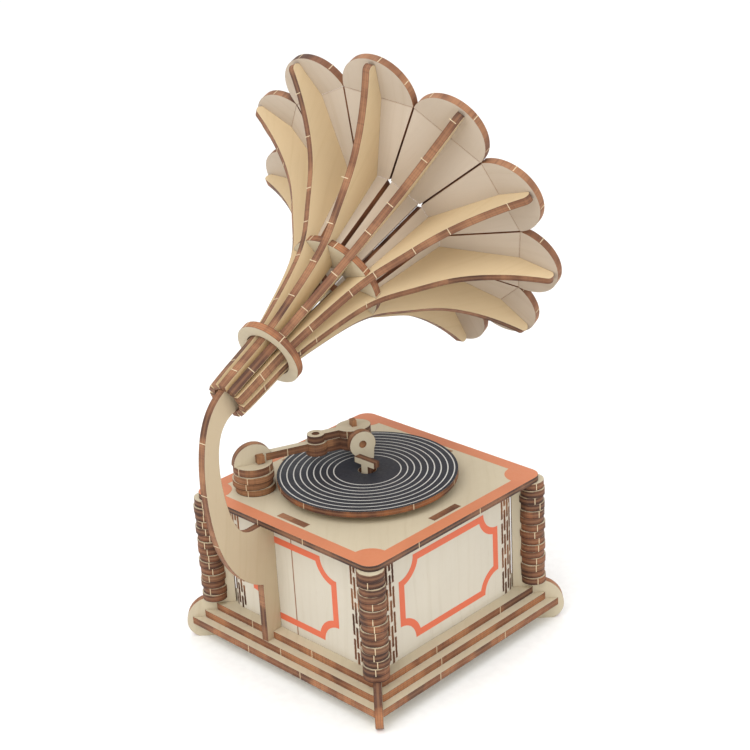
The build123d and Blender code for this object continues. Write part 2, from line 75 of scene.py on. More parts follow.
HORN_UP = HORN_AXIS.cross(HORN_SIDE)
RIBS = 11
PETAL_LIP = 85.2 * MM  # the petals' outermost panels start this far along the horn
PILLAR_DISCS = 15
ARM_BASE_DISCS = 3


# ---------------------------------------------------------------- colours and node helpers
def rgb(red, green, blue):
    """A colour given on the screen's scale of 0 to 255, as the linear values that shaders use."""
    def linear(value):
        value /= 255
        return value / 12.92 if value <= 0.04045 else ((value + 0.055) / 1.055) ** 2.4

    return (linear(red), linear(green), linear(blue), 1.0)


CREAM = rgb(193, 181, 156)
CREAM_PALE = rgb(199, 191, 175)
CREAM_PETAL = rgb(185, 170, 152)
CREAM_WARM = rgb(202, 180, 144)
CREAM_NECK = rgb(191, 173, 144)
NIB = rgb(214, 196, 164)
TAN = rgb(156, 112, 80)
BROWN = rgb(122, 80, 56)
BROWN_DARK = rgb(70, 46, 37)
# dark seam under each sheet of a stack: partly a dark joint, partly painted shade
JOINT_AND_SHADE_DARK = rgb(40, 28, 25)
RIB_EDGE = (rgb(158, 112, 80), rgb(118, 78, 56))
PLATE_EDGE = (rgb(170, 114, 76), rgb(124, 78, 54))
LID_EDGE = (rgb(116, 80, 60), rgb(64, 48, 42))
RECORD_EDGE = (rgb(150, 92, 52), rgb(76, 48, 38))
PILLAR_EDGE = (rgb(142, 90, 60), rgb(70, 44, 34))
ARM_EDGE = (rgb(158, 112, 76), rgb(104, 68, 48))
ORANGE = rgb(214, 106, 74)
RECORD_BLACK = rgb(42, 44, 52)

SCORCH_WIDTH = 0.26 * MM  # the brown line along a cut
FACE_RANGE = (0.90, 0.95)  # cosines of the turn from a sheet's face, from all cut to all face


class Shader:
    """A material and short ways to add nodes to it."""

    def __init__(self, name):
        self.material = bpy.data.materials.new(name)
        self.material.use_nodes = True
        self.tree = self.material.node_tree
        self.tree.nodes.clear()
        self.place = self.add("ShaderNodeTexCoord")

    def add(self, kind, **inputs):
        node = self.tree.nodes.new(kind)
        for key, value in inputs.items():
            self.feed(node.inputs[key], value)
        return node

    def feed(self, socket, value):
        if isinstance(value, bpy.types.NodeSocket):
            self.tree.links.new(value, socket)
        else:
            socket.default_value = value

    def math(self, operation, a, b=0.0):
        node = self.tree.nodes.new("ShaderNodeMath")
        node.operation = operation
        self.feed(node.inputs[0], a)
        self.feed(node.inputs[1], b)
        return node.outputs[0]

    def vector(self, operation, a, b=(0.0, 0.0, 0.0)):
        node = self.tree.nodes.new("ShaderNodeVectorMath")
        node.operation = operation
        self.feed(node.inputs[0], a)
        self.feed(node.inputs[1], b)
        return node.outputs["Value" if operation in ("DOT_PRODUCT", "LENGTH") else "Vector"]

    def join(self, x, y, z):
        return self.add("ShaderNodeCombineXYZ", X=x, Y=y, Z=z).outputs[0]

    def step(self, value, low, high, out_low=0.0, out_high=1.0):
        """A smooth ramp of value between low and high."""
        node = self.tree.nodes.new("ShaderNodeMapRange")
        node.interpolation_type = "SMOOTHSTEP"
        for i, given in enumerate((value, low, high, out_low, out_high)):
            self.feed(node.inputs[i], given)
        return node.outputs[0]

    def noise(self, vector, scale, detail=2.0, roughness=0.5):
        node = self.add("ShaderNodeTexNoise", Vector=vector, Scale=scale, Detail=detail)
        node.inputs["Roughness"].default_value = roughness
        return node.outputs["Fac"]

    def mix(self, factor, a, b, blend="MIX"):
        node = self.tree.nodes.new("ShaderNodeMix")
        node.data_type = "RGBA"
        node.blend_type = blend
        self.feed(node.inputs[0], factor)
        self.feed(node.inputs[6], a)
        self.feed(node.inputs[7], b)
        return node.outputs[2]

    def finish(self, colour, roughness, height=None, depth=0.02 * MM):
        surface = self.add("ShaderNodeBsdfPrincipled")
        self.feed(surface.inputs["Base Color"], colour)
        self.feed(surface.inputs["Roughness"], roughness)
        surface.inputs["Specular IOR Level"].default_value = 0.3
        if height is not None:
            bump = self.add("ShaderNodeBump", Height=height, Distance=depth, Strength=0.6)
            self.tree.links.new(bump.outputs[0], surface.inputs["Normal"])
        output = self.tree.nodes.new("ShaderNodeOutputMaterial")
        self.tree.links.new(surface.outputs[0], output.inputs[0])
        return self.material


# ---------------------------------------------------------------- plywood
def sheet_normals(mesh, count):
    """The directions that a node's sheets face: those with the most area."""
    areas = {}
    for polygon in mesh.polygons:
        normal = polygon.normal
        lead = max(range(3), key=lambda i: abs(normal[i]))
        if normal[lead] < 0:
            normal = -normal
        key = tuple(round(value, 2) for value in normal)
        total, weighted = areas.get(key, (0.0, Vector()))
        areas[key] = (total + polygon.area, weighted + normal * polygon.area)
    ranked = sorted(areas.values(), key=lambda entry: -entry[0])
    return [weighted.normalized() for _, weighted in ranked[:count]]


def long_direction(mesh, normal):
    """The direction in the sheet's plane along which a node reaches furthest."""
    side = normal.cross(Vector((0.3, 0.2, 1.0))).normalized()
    other = normal.cross(side)
    best = (0.0, side)
    for i in range(18):
        angle = math.pi * i / 18
        way = side * math.cos(angle) + other * math.sin(angle)
        reach = [vertex.co.dot(way) for vertex in mesh.vertices]
        best = max(best, (max(reach) - min(reach), way), key=lambda entry: entry[0])
    return best[1]


def grain_colour(shade, face, along, across, seed):
    """Birch face: faint long streaks, fine pores and a slow change of tone."""
    shift = (seed * 0.37, seed * 0.11, seed * 0.23)
    place = shade.vector("ADD", shade.place.outputs["Object"], shift)
    lengthwise = shade.vector("DOT_PRODUCT", place, tuple(along))
    crosswise = shade.vector("DOT_PRODUCT", place, tuple(across))
    wander = shade.noise(place, 22.0, 2.0)
    crosswise = shade.math("ADD", crosswise, shade.math("MULTIPLY", wander, 6.0 * MM))

    def stretched(long_scale, cross_scale, level):
        return shade.join(
            shade.math("MULTIPLY", lengthwise, long_scale),
            shade.math("MULTIPLY", crosswise, cross_scale),
            level,
        )

    streaks = shade.noise(stretched(14.0, 420.0, 0.0), 1.0, 3.0, 0.6)
    pores = shade.noise(stretched(160.0, 2600.0, 3.0), 1.0, 1.0)
    tone = shade.noise(place, 26.0, 1.0)
    darker = tuple(value * share for value, share in zip(face, (0.84, 0.79, 0.70))) + (1.0,)
    lighter = tuple(min(1.0, value * 1.07) for value in face[:3]) + (1.0,)
    colour = shade.mix(shade.step(tone, 0.3, 0.7), face, lighter)
    colour = shade.mix(shade.step(streaks, 0.46, 0.85, 0.0, 0.42), colour, darker)
    colour = shade.mix(shade.step(pores, 0.68, 0.82, 0.0, 0.14), colour, TAN)
    return colour, shade.math("ADD", streaks, shade.math("MULTIPLY", pores, 0.5))


def burnt_colour(shade, normal, low, layers, height, edge, seed):
    """Laser-cut edge: brown, with the plies, cross scratches and darker patches. In a stack each
    sheet has its own tone, a pale upper arris and a dark seam below, partly a dark joint and
    partly painted shade along the sheet's bottom. Without layers it has no plies."""
    light, dark = edge
    shift = (seed * 0.19, seed * 0.41, seed * 0.07)
    place = shade.vector("ADD", shade.place.outputs["Object"], shift)
    depth = shade.vector("DOT_PRODUCT", shade.place.outputs["Object"], tuple(normal))
    through = shade.vector("MULTIPLY", tuple(normal), shade.join(depth, depth, depth))
    flat = shade.vector("SUBTRACT", place, through)
    colour = shade.mix(shade.step(shade.noise(place, 80.0, 2.0), 0.38, 0.64), dark, light)
    patch = shade.step(shade.noise(place, 42.0, 1.0), 0.58, 0.66, 0.0, 0.8)
    colour = shade.mix(patch, colour, BROWN_DARK)
    lines = shade.step(shade.noise(flat, 1300.0, 2.0, 0.7), 0.45, 0.75, 0.0, 0.45)
    colour = shade.mix(lines, colour, BROWN_DARK)
    scratches = shade.noise(place, 2200.0, 2.0, 0.7)
    colour = shade.mix(shade.step(scratches, 0.5, 0.8, 0.0, 0.3), colour, TAN)
    if not layers:
        return colour, scratches
    level = shade.math("DIVIDE", shade.math("SUBTRACT", depth, low), height)
    share = shade.math("FRACT", shade.math("ADD", level, 4.0))
    if layers > 1:
        white = shade.add("ShaderNodeTexWhiteNoise")
        white.noise_dimensions = "1D"
        shade.feed(white.inputs["W"], shade.math("ADD", shade.math("FLOOR", level), float(seed)))
        colour = shade.mix(shade.step(white.outputs["Value"], 0.0, 1.0, 0.0, 0.6), colour, BROWN_DARK)
        colour = shade.mix(shade.step(white.outputs["Value"], 0.75, 1.0, 0.0, 0.5), colour, TAN)
    middle = shade.math("ABSOLUTE", shade.math("SUBTRACT", share, 0.5))
    glue = shade.step(shade.math("ABSOLUTE", shade.math("SUBTRACT", middle, 0.17)), 0.0, 0.045, 0.5, 0.0)
    colour = shade.mix(shade.step(middle, 0.15, 0.18, 0.35, 0.0), colour, TAN)
    colour = shade.mix(glue, colour, BROWN_DARK)
    colour = shade.mix(shade.step(middle, 0.38, 0.48, 0.0, 0.6), colour, BROWN_DARK)
    if layers > 1:
        broken = shade.step(shade.noise(place, 260.0, 1.0), 0.42, 0.56, 0.25, 1.0)
        arris = shade.math("MULTIPLY", shade.step(share, 0.88, 0.93, 0.0, 0.62), broken)
        colour = shade.mix(arris, colour, CREAM_WARM)
        # painted shade: the bottom of each sheet in a stack is darkened, partly as a dark joint and
        # partly as shade under the sheet
        colour = shade.mix(shade.step(share, 0.04, 0.12, 0.9, 0.0), colour, JOINT_AND_SHADE_DARK)
    return colour, scratches


def finish_plywood(shade, is_face, grain, burnt, relief, scratches):
    """Joins face and edge, with a narrow scorched line along every cut."""
    bevel = shade.tree.nodes.new("ShaderNodeBevel")
    bevel.samples = 4
    bevel.inputs["Radius"].default_value = SCORCH_WIDTH
    sharp = shade.tree.nodes.new("ShaderNodeNewGeometry").outputs["True Normal"]
    rounded = shade.vector("DOT_PRODUCT", bevel.outputs[0], sharp)
    scorch = shade.step(rounded, 0.90, 0.995, 0.8, 0.0)
    colour = shade.mix(scorch, grain, BROWN)
    colour = shade.mix(is_face, burnt, colour)
    cut_relief = shade.join(scratches, scratches, scratches)
    face_relief = shade.join(relief, relief, relief)
    height = shade.mix(is_face, cut_relief, face_relief)
    roughness = shade.step(shade.noise(shade.place.outputs["Object"], 400.0), 0.3, 0.7, 0.56, 0.72)
    return shade.finish(colour, roughness, height, 0.03 * MM)


def plywood(obj, layers=1, face=CREAM, edge=PLATE_EDGE, seed=0, along=None, normal=None):
    """Cream faces and burnt edges. Layers is how many sheets of equal height lie on each other,
    normal is the way they face and along is the way of the grain, where these are known."""
    shade = Shader("plywood_" + obj.name)
    normal = normal or sheet_normals(obj.data, 1)[0]
    along = along or long_direction(obj.data, normal)
    across = normal.cross(along).normalized()
    reach = [vertex.co.dot(normal) for vertex in obj.data.vertices]
    height = (max(reach) - min(reach)) / layers
    dot = shade.vector("DOT_PRODUCT", shade.place.outputs["Normal"], tuple(normal))
    is_face = shade.step(shade.math("ABSOLUTE", dot), *FACE_RANGE)
    grain, relief = grain_colour(shade, face, along, across, seed)
    burnt, scratches = burnt_colour(shade, normal, min(reach), layers, height, edge, seed)
    return finish_plywood(shade, is_face, grain, burnt, relief, scratches)


def slit_scorch(shade, beyond, height):
    """Brown round the slits of the living hinge. Beyond is how far a point lies past the start
    of the bend, along X and along Y, and height is its height over the wall's foot."""
    split = shade.add("ShaderNodeSeparateXYZ", Vector=beyond)
    x, y = split.outputs["X"], split.outputs["Y"]
    angle = shade.math("ARCTAN2", shade.math("MAXIMUM", y, 0.0), shade.math("MAXIMUM", x, 0.0))
    middle = WALL_BEND - PLY / 2
    along = shade.math("MULTIPLY", angle, middle)
    along = shade.math("ADD", along, shade.math("MINIMUM", y, 0.0))
    along = shade.math("SUBTRACT", along, shade.math("MINIMUM", x, 0.0))
    start = middle * math.pi / 4 - (SLIT_COUNT - 1) / 2 * SLIT_PITCH
    place = shade.math("DIVIDE", shade.math("SUBTRACT", along, start), SLIT_PITCH)
    order = shade.math("ROUND", place)
    aside = shade.math("ABSOLUTE", shade.math("SUBTRACT", place, order))
    odd = shade.math("MODULO", shade.math("ADD", order, 100.0), 2.0)
    shift = shade.math("MULTIPLY", odd, 0.5)
    level = shade.math("SUBTRACT", shade.math("DIVIDE", height, SLIT_PERIOD), shift)
    level = shade.math("FRACT", shade.math("ADD", level, 8.0))
    bridge = SLIT_BRIDGE / SLIT_PERIOD
    over_start = shade.step(level, 0.8 * bridge, bridge)
    under_end = shade.step(level, 0.97, 1.0, 1.0, 0.0)
    in_slit = shade.math("MULTIPLY", over_start, under_end)
    ragged = shade.step(shade.noise(shade.place.outputs["Object"], 900.0), 0.3, 0.7, -0.05, 0.05)
    near = shade.step(shade.math("ADD", aside, ragged), 0.32, 0.41, 1.0, 0.0)
    last = SLIT_COUNT - 0.5
    past_first = shade.step(place, -0.5, -0.4)
    before_last = shade.step(place, last - 0.1, last, 1.0, 0.0)
    inside = shade.math("MULTIPLY", past_first, before_last)
    return shade.math("MULTIPLY", shade.math("MULTIPLY", near, in_slit), inside)


def wall_plywood(obj, seed):
    """The bent wall: what lies inside the sheet's thickness is cut, and so is burnt."""
    shade = Shader("plywood_" + obj.name)
    inner = WALL_OUT - WALL_BEND
    place = shade.vector("SUBTRACT", shade.place.outputs["Object"], tuple(BOX_CENTRE))
    beyond = shade.vector("SUBTRACT", shade.vector("ABSOLUTE", place), (inner, inner, 1.0))
    corner = shade.vector("LENGTH", shade.vector("MAXIMUM", beyond, (0.0, 0.0, 0.0)))
    depth = shade.math("SUBTRACT", WALL_BEND, corner)
    in_sheet = shade.math(
        "MULTIPLY",
        shade.step(depth, 0.03 * MM, 0.06 * MM),
        shade.step(depth, PLY - 0.06 * MM, PLY - 0.03 * MM, 1.0, 0.0),
    )
    split = shade.add("ShaderNodeSeparateXYZ", Vector=shade.place.outputs["Object"])
    from_seam = shade.math("ABSOLUTE", shade.math("SUBTRACT", split.outputs["X"], SEAM_X))
    seam = shade.step(from_seam, 0.22 * MM, 0.40 * MM, 0.9, 0.0)
    upright = shade.vector("DOT_PRODUCT", shade.place.outputs["Normal"], tuple(UP))
    facing = shade.math("ABSOLUTE", upright)
    cut = shade.math("MAXIMUM", in_sheet, shade.step(facing, 0.5, 0.6))
    cut = shade.math("MAXIMUM", cut, seam)
    height = shade.math("SUBTRACT", split.outputs["Z"], WALL_FOOT)
    cut = shade.math("MAXIMUM", cut, slit_scorch(shade, beyond, height))
    is_face = shade.math("SUBTRACT", 1.0, cut)
    diagonal = Vector((1, 1, 0)).normalized()
    grain, relief = grain_colour(shade, CREAM_PALE, UP, diagonal, seed)
    burnt, scratches = burnt_colour(shade, UP, 0.0, 0, PLY, RIB_EDGE, seed)
    return finish_plywood(shade, is_face, grain, burnt, relief, scratches)


def petal_plywood(obj, seed):
    """A petal's three panels. The rounded end of the outer one is cut, though it faces the way
    that another panel does."""
    shade = Shader("plywood_" + obj.name)
    normals = sorted(sheet_normals(obj.data, 3), key=lambda way: abs(way.dot(HORN_AXIS)))
    facing = []
    for way in normals:
        dot = shade.vector("DOT_PRODUCT", shade.place.outputs["Normal"], tuple(way))
        facing.append(shade.math("ABSOLUTE", dot))
    along = shade.vector("DOT_PRODUCT", shade.place.outputs["Object"], tuple(HORN_AXIS))
    along = shade.math("SUBTRACT", along, HORN_START.dot(HORN_AXIS))
    outer = shade.step(along, PETAL_LIP, PETAL_LIP + 0.1 * MM)
    inner = shade.math("SUBTRACT", 1.0, outer)
    inner_facing = shade.math("MULTIPLY", shade.math("MAXIMUM", facing[0], facing[1]), inner)
    is_face = shade.step(shade.math("MAXIMUM", inner_facing, facing[2]), *FACE_RANGE)
    lengthwise = long_direction(obj.data, normals[0])
    crosswise = normals[0].cross(lengthwise).normalized()
    grain, relief = grain_colour(shade, CREAM_PETAL, lengthwise, crosswise, seed)
    burnt, scratches = burnt_colour(shade, normals[2], 0.0, 0, PLY, RIB_EDGE, seed)
    return finish_plywood(shade, is_face, grain, burnt, relief, scratches)


def burnt_wood(obj, edge, seed):
    """A small peg that is burnt all round."""
    shade = Shader("burnt_" + obj.name)
    burnt, scratches = burnt_colour(shade, UP, 0.0, 0, PLY, edge, seed)
    return shade.finish(burnt, 0.7, scratches)


def assign(obj, material):
    if not obj.material_slots:
        obj.data.materials.append(material)
    for slot in obj.material_slots:
        slot.material = material


PEGS = ("soundbox_axle", "head_pin", "head_tab", "tonearm_peg")
for order, (name, obj) in enumerate(sorted(nodes.items())):
    if name.startswith("wall_sheet"):
        look = wall_plywood(obj, order)
    elif name in PEGS:
        look = burnt_wood(obj, ARM_EDGE, order)
    elif name.startswith("horn_petal"):
        look = petal_plywood(obj, order)
    elif name.startswith("horn_rib"):
        look = plywood(obj, face=CREAM_WARM, edge=RIB_EDGE, seed=order)
    elif name.startswith("pillar_discs"):
        look = plywood(obj, PILLAR_DISCS, edge=PILLAR_EDGE, seed=order, along=LENGTHWISE, normal=UP)
    elif name == "tonearm_base_discs":
        look = plywood(obj, ARM_BASE_DISCS, edge=ARM_EDGE, seed=order, along=LENGTHWISE, normal=UP)
    elif name == "lid":
        look = plywood(obj, edge=LID_EDGE, seed=order)
    elif name == "record":
        look = plywood(obj, edge=RECORD_EDGE, seed=order)
    elif name == "tonearm_bar":
        look = plywood(obj, edge=ARM_EDGE, seed=order, normal=UP)
    elif name.startswith(("tonearm", "head", "soundbox", "spindle")):
        look = plywood(obj, edge=ARM_EDGE, seed=order)
    elif name == "horn_neck":
        look = plywood(obj, face=CREAM_NECK, edge=RIB_EDGE, seed=order)
    else:
        look = plywood(obj, seed=order)
    assign(obj, look)


# ---------------------------------------------------------------- new pieces
def new_piece(name, body, material, build):
    """A mesh piece that rides on a CAD body."""
    shape = bmesh.new()
    build(shape)
    bmesh.ops.recalc_face_normals(shape, faces=shape.faces)
    mesh = bpy.data.meshes.new(name)
    shape.to_mesh(mesh)
    shape.free()
    obj = bpy.data.objects.new(name, mesh)
    bpy.context.scene.collection.objects.link(obj)
    mesh.materials.append(material)
    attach(obj, body)


def print_material(name, colour, dark, roughness):
    """Flat ink on wood: a slightly uneven coat that lets a little of the grain through."""
    shade = Shader(name)
    place = shade.place.outputs["Object"]
    speckle = shade.noise(place, 900.0, 3.0, 0.7)
    cloud = shade.noise(place, 60.0, 2.0)
    coat = shade.mix(shade.step(cloud, 0.35, 0.70, 0.0, 0.5), colour, dark)
    coat = shade.mix(shade.step(speckle, 0.62, 0.80, 0.0, 0.12), coat, CREAM)
    gloss = shade.step(speckle, 0.3, 0.7, roughness - 0.06, roughness + 0.08)
    return shade.finish(coat, gloss, speckle, 0.01 * MM)


orange_ink = print_material("orange_ink", ORANGE, rgb(206, 104, 74), 0.55)
lid_ink = print_material("lid_ink", rgb(200, 126, 90), rgb(190, 117, 83), 0.55)
black_ink = print_material("black_ink", RECORD_BLACK, rgb(38, 39, 45), 0.5)
groove_ink = print_material("groove_ink", rgb(206, 205, 200), rgb(188, 187, 182), 0.5)
INK_HEIGHT = 0.05 * MM
INK_SINK = 0.02 * MM
GROOVE_HEIGHT = 0.03 * MM
GROOVE_OVERLAP = 0.1 * MM
EDGE_GAP = 0.05 * MM  # bare wood between a print and the edge of its sheet


def ink_ring(shape, outer, inner, place, top=INK_HEIGHT):
    """A closed thin ring between two outlines of equally many points. Place turns a point of
    the outline and a height over the face into a point of the frame."""
    count = len(outer)
    rows = [
        [shape.verts.new(place(point, height)) for point in outline]
        for outline, height in (
            (outer, -INK_SINK), (outer, top), (inner, top), (inner, -INK_SINK)
        )
    ]
    for row in range(4):
        lower, upper = rows[row], rows[(row + 1) % 4]
        for i in range(count):
            j = (i + 1) % count
            shape.faces.new((lower[i], lower[j], upper[j], upper[i]))


ARC_STEPS = 12


def notched_outline(half_width, half_height, radius, inset):
    """A rectangle whose corners are scooped out by arcs about its own corners. With an inset the
    straight sides move in by it and the arcs grow by it."""
    points = []
    trim = math.degrees(math.asin(inset / (radius + inset)))
    corners = ((1, 1, 270, 180), (-1, 1, 0, -90), (-1, -1, 90, 0), (1, -1, 180, 90))
    for sx, sy, start, end in corners:
        for i in range(ARC_STEPS + 1):
            angle = math.radians(start - trim + (end - start + 2 * trim) * i / ARC_STEPS)
            points.append((
                sx * half_width + (radius + inset) * math.cos(angle),
                sy * half_height + (radius + inset) * math.sin(angle),
            ))
    return points


FRAME_LINE = 2.8 * MM
FRAME_SCOOP = 8.0 * MM


def wall_frame(name, turn, centre_along, half_width, low, high):
    """The printed frame on one wall. Turn is the wall's direction, in degrees from +X, and low
    and high are heights over the underside of the box."""
    way = math.radians(turn)
    out = Vector((math.cos(way), math.sin(way), 0))
    side = Vector((-math.sin(way), math.cos(way), 0))
    middle = BOX_CENTRE + out * WALL_OUT + side * centre_along
    middle.z = BOX_FLOOR + (low + high) / 2
    half_height = (high - low) / 2

    def place(point, height):
        return middle + side * point[0] + Vector((0, 0, point[1])) + out * height

    def build(shape):
        outer = notched_outline(half_width, half_height, FRAME_SCOOP, 0.0)
        inner = notched_outline(half_width, half_height, FRAME_SCOOP, FRAME_LINE)
        ink_ring(shape, outer, inner, place)

    new_piece(name, "base", orange_ink, build)


NARROW_FRAME = (-1.0 * MM, 23.6 * MM, 12.6 * MM, 48.4 * MM)
WIDE_FRAME = (0.0, 27.7 * MM, 14.1 * MM, 49.0 * MM)
wall_frame("printed_frame_front_left", 90, *NARROW_FRAME)
wall_frame("printed_frame_front_right", 180, *WIDE_FRAME)
wall_frame("printed_frame_back_left", 0, *WIDE_FRAME)
wall_frame("printed_frame_back_right", 270, *WIDE_FRAME)

LID_BORDER = 5.4 * MM
LID_LOBE = 7.3 * MM
LID_ROUND = 5.0 * MM


def lid_outlines():
    """The lid's rounded outline, and the border's inner edge with a round lobe in each corner."""
    half = (LID_HIGH.x - LID_LOW.x) / 2 - EDGE_GAP
    inner_half = half - LID_BORDER
    round_at = half - LID_ROUND
    outer, inner = [], []
    for turn in (0, 90, 180, 270):
        spin = Matrix.Rotation(math.radians(turn), 2)
        for i in range(ARC_STEPS + 1):
            angle = math.radians(90 * i / ARC_STEPS)
            away = Vector((math.cos(angle), math.sin(angle)))
            back = Vector((math.sin(angle), math.cos(angle)))
            outer.append(spin @ (Vector((round_at, round_at)) + LID_ROUND * away))
            inner.append(spin @ (Vector((inner_half, inner_half)) - LID_LOBE * back))
    return outer, inner


def lid_border(shape):
    outer, inner = lid_outlines()
    middle = centre_of("lid")

    def place(point, height):
        return Vector((middle.x + point[0], middle.y + point[1], LID_TOP + height))

    ink_ring(shape, outer, inner, place)


new_piece("printed_lid_border", "base", lid_ink, lid_border)

PRINT_START = 3.6 * MM  # inner radius of the record's black print
RINGS = 9
RING_FIRST = 13.0 * MM
RING_LAST = 33.6 * MM
RING_WIDTH = 0.46 * MM
RECORD_STEPS = 160


def circle_points(radius):
    angles = [math.tau * i / RECORD_STEPS for i in range(RECORD_STEPS)]
    return [(radius * math.cos(angle), radius * math.sin(angle)) for angle in angles]


def record_place(point, height):
    return Vector((RECORD_CENTRE.x + point[0], RECORD_CENTRE.y + point[1], RECORD_TOP + height))


def groove_radii():
    spacing = (RING_LAST - RING_FIRST) / (RINGS - 1)
    return [RING_FIRST + spacing * i for i in range(RINGS)]


def record_print(shape):
    """Black rings, with narrow gaps between them."""
    starts = [PRINT_START] + [radius + RING_WIDTH / 2 for radius in groove_radii()]
    ends = [radius - RING_WIDTH / 2 for radius in groove_radii()] + [RECORD_RADIUS - EDGE_GAP]
    for start, end in zip(starts, ends):
        ink_ring(shape, circle_points(end), circle_points(start), record_place)


def groove_print(shape):
    """Pale lines in the gaps, a little lower than the black and reaching under it."""
    reach = RING_WIDTH / 2 + GROOVE_OVERLAP
    for radius in groove_radii():
        outer = circle_points(radius + reach)
        inner = circle_points(radius - reach)
        ink_ring(shape, outer, inner, record_place, GROOVE_HEIGHT)


new_piece("record_print", "record_table", black_ink, record_print)
new_piece("record_grooves", "record_table", groove_ink, groove_print)


# ---------------------------------------------------------------- cut nibs
def nib_material():
    shade = Shader("nib_wood")
    fibres = shade.noise(shade.place.outputs["Object"], 2500.0, 2.0)
    colour = shade.mix(shade.step(fibres, 0.4, 0.7), NIB, CREAM_WARM)
    return shade.finish(colour, 0.7, fibres)


nib_wood = nib_material()
NIB_PROUD = 0.05 * MM
NIB_DEEP = 0.05 * MM
NIB_WIDTH = 0.36 * MM
NIB_TAPER = 0.75
luck = random.Random(7)


def add_nib(shape, node, start, aim, span, height):
    """A torn nib where a ray from start along aim first meets the node's edge. Span is the
    sheet's own direction, and height is how far the nib reaches along it."""
    hit, point, normal, _ = nodes[node].ray_cast(start, aim.normalized())
    if not hit or abs(normal.dot(span)) > 0.3:
        return
    span = span.normalized()
    side = span.cross(normal).normalized() * NIB_WIDTH / 2
    corners = []
    for out, taper in ((-NIB_DEEP, 1.0), (NIB_PROUD, NIB_TAPER)):
        for along, lift in ((-1, -1), (1, -1), (1, 1), (-1, 1)):
            corners.append(shape.verts.new(
                point + normal * out + side * along * taper + span * lift * height / 2
            ))
    for ring in ((0, 1, 2, 3), (7, 6, 5, 4), (0, 4, 5, 1), (1, 5, 6, 2), (2, 6, 7, 3), (3, 7, 4, 0)):
        shape.faces.new([corners[i] for i in ring])


def plate_nibs(shape, node, per_side, inset):
    """Nibs along the four straight sides of a square plate."""
    low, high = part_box(node)
    middle = (low + high) / 2
    half = (high.x - low.x) / 2
    for turn in (0, 90, 180, 270):
        way = math.radians(turn)
        out = Vector((math.cos(way), math.sin(way), 0))
        side = Vector((-math.sin(way), math.cos(way), 0))
        for i in range(per_side):
            share = (i + 0.5 + luck.uniform(-0.25, 0.25)) / per_side * 2 - 1
            start = middle + out * (half + 5 * MM) + side * share * (half - inset)
            add_nib(shape, node, start, -out, UP, high.z - low.z)


def round_nibs(shape, node, centre, count, layers=1, reach=60 * MM, first=0.0):
    """Nibs round a flat disc, or round each disc of a stack. Reach is how far out the search
    for the edge starts, and first is the direction of the first nib."""
    low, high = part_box(node)
    height = (high.z - low.z) / layers
    for layer in range(layers):
        z = low.z + height * (layer + 0.5)
        for i in range(count):
            angle = first + math.tau * i / count + luck.uniform(-0.25, 0.25)
            out = Vector((math.cos(angle), math.sin(angle), 0))
            start = Vector((centre.x, centre.y, z)) + out * reach
            add_nib(shape, node, start, -out, UP, height)


PILLAR_SEAMS = {"left": 122, "front": 131, "right": 158, "back": 140}
SEAM_APART = 190  # degrees between a pillar's two lines of nibs
SEAM_WANDER = 9  # degrees that a line strays to either side


def pillar_nibs(shape):
    """Two wandering lines of nibs on each pillar, given by their direction in degrees from +X."""
    for name, turn in PILLAR_SEAMS.items():
        node = "pillar_discs_" + name
        middle = centre_of(node)
        low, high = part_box(node)
        height = (high.z - low.z) / PILLAR_DISCS
        for layer in range(PILLAR_DISCS):
            wander = SEAM_WANDER * math.sin(layer * 1.3 + turn)
            for lean in (0, SEAM_APART):
                if luck.random() < 0.2:
                    continue
                angle = math.radians(turn + lean + wander) + luck.uniform(-0.22, 0.22)
                out = Vector((math.cos(angle), math.sin(angle), 0))
                start = Vector((middle.x, middle.y, low.z + height * (layer + 0.5))) + out * 9 * MM
                add_nib(shape, node, start, -out, UP, height * 0.92)


RIB_NIBS = (-16, 4, 16, 33, 46, 58, 70, 78)  # millimetres along the horn, from the collar
PETAL_NIBS = (-50, 20, 65)  # degrees round a petal's end, from its tip
PETAL_END_ALONG = 87.3 * MM
PETAL_END_OUT = 55 * MM


def horn_nibs(shape):
    """Nibs on the outer curve of each rib, round the end of each petal, and round the collar and
    the slotted disc."""
    for i in range(RIBS):
        node = f"horn_rib_{i + 1:02d}"
        middle = centre_of(node) - HORN_START
        radial = (middle - HORN_AXIS * middle.dot(HORN_AXIS)).normalized()
        span = HORN_AXIS.cross(radial)
        for place in RIB_NIBS:
            along = (place + luck.uniform(-4, 4)) * MM
            start = HORN_START + HORN_AXIS * along + radial * 120 * MM
            add_nib(shape, node, start, -radial, span, PLY)
        petal = f"horn_petal_{i + 1:02d}"
        end = HORN_START + HORN_AXIS * PETAL_END_ALONG + radial * PETAL_END_OUT
        for lean in PETAL_NIBS:
            turn = math.radians(lean + luck.uniform(-10, 10))
            way = radial * math.cos(turn) + span * math.sin(turn)
            add_nib(shape, petal, end + way * 40 * MM, -way, HORN_AXIS, PLY)
    for node, count in (("horn_collar", 5), ("horn_disc", 9)):
        middle = centre_of(node)
        for i in range(count):
            angle = math.tau * (i + luck.uniform(-0.2, 0.2)) / count
            way = HORN_SIDE * math.cos(angle) + HORN_UP * math.sin(angle)
            add_nib(shape, node, middle + way * 40 * MM, -way, HORN_AXIS, PLY)


OUTER_NECK_NIBS = (45, 62, 84, 104)  # heights in millimetres
INNER_NECK_NIBS = (86, 70)


def neck_nibs(shape):
    """Nibs on the two curved edges of the neck."""
    low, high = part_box("horn_neck")
    across = sheet_normals(nodes["horn_neck"].data, 1)[0]
    middle = (low + high) / 2
    back = Vector((0, 1, 0)) - across * across.y
    for heights, way, shift in ((OUTER_NECK_NIBS, back, 20 * MM), (INNER_NECK_NIBS, -back, -40 * MM)):
        for height in heights:
            start = Vector((middle.x, high.y, height * MM))
            start += across * across.dot(middle - start)
            start += way * shift
            add_nib(shape, "horn_neck", start, -way, across, PLY)


